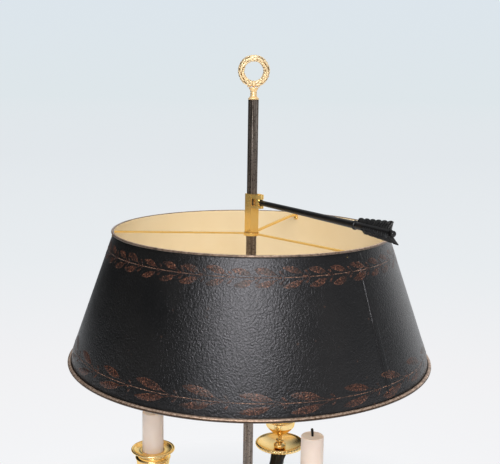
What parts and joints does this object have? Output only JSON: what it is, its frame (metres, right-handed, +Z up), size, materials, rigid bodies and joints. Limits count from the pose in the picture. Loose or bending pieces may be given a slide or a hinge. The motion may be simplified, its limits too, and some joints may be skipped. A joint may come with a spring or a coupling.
{
  "type": "bouillotte lamp",
  "caption": "Bouillotte candle lamp: dished gilt base, scroll arms with drip pans, square stem, sliding tole shade locked by an arrow cam lever.",
  "frame": {"origin": "centre of the felt's underside, on the stem's axis", "axes": "+Z up the stem; the arrow lever and one candle arm point to -Y at rest; +X to the right of an observer facing +Y"},
  "size_m": [0.3899, 0.3984, 0.64],
  "materials": {
    "gilt_bronze": "burnished gilt bronze",
    "polished_brass": "polished",
    "black_bronze": "black patina, satin",
    "painted_tole": "black paint outside, satin with fine orange peel and gold laurel bands; cream inside",
    "worn_copper_wire": "worn paint over copper",
    "bare_steel": "drawn, aged",
    "cast_iron": "raw casting",
    "candle_wax": "smooth wax",
    "burnt_wick": "charred cotton",
    "green_felt": "felt"
  },
  "bodies": {
    "stand": {"base_felt": "green_felt", "base_weight": "cast_iron", "base_weight_screws": "bare_steel", "base_dish": "gilt_bronze", "base_border": "gilt_bronze", "stem_washer": "bare_steel", "stem_nut": "bare_steel", "stem": "bare_steel", "column_foot": "gilt_bronze", "column_shaft": "gilt_bronze", "arm_hub": "gilt_bronze", "arm_screws": "bare_steel", "hub_cap": "gilt_bronze", "finial_foot": "gilt_bronze", "finial_wreath": "gilt_bronze", "candle_arm_front": "black_bronze", "candle_arm_right": "black_bronze", "candle_arm_left": "black_bronze", "drip_pans": "gilt_bronze", "nozzle_knops": "gilt_bronze", "candle_sockets": "gilt_bronze", "candle_nozzles": "gilt_bronze", "candle_front": "candle_wax", "candle_right": "candle_wax", "candle_left": "candle_wax", "wick_front": "burnt_wick", "wick_right": "burnt_wick", "wick_left": "burnt_wick"},
    "shade_carriage": {"sleeve": "polished_brass", "pivot_pin": "polished_brass", "spider_hub": "polished_brass", "spider_strip_front": "polished_brass", "spider_strip_right": "polished_brass", "spider_strip_left": "polished_brass", "spider_rivets": "polished_brass", "shade_shell": "painted_tole", "shade_top_wire": "worn_copper_wire", "shade_bottom_wire": "worn_copper_wire"},
    "arrow_lever": {"lever_cam": "black_bronze", "arrow_shaft": "black_bronze", "arrow_fletching": "black_bronze"}
  },
  "joints": [
    {"name": "shade_slide", "type": "slide", "parent": "stand", "child": "shade_carriage", "axis": [0, 0, 1], "range_m": [-0.178, 0.098]},
    {"name": "arrow_swing", "type": "hinge", "parent": "shade_carriage", "child": "arrow_lever", "pos_m": [0, -0.012, 0.4874], "axis": [0, 0, 1], "range_deg": [-75, 75]}
  ]
}
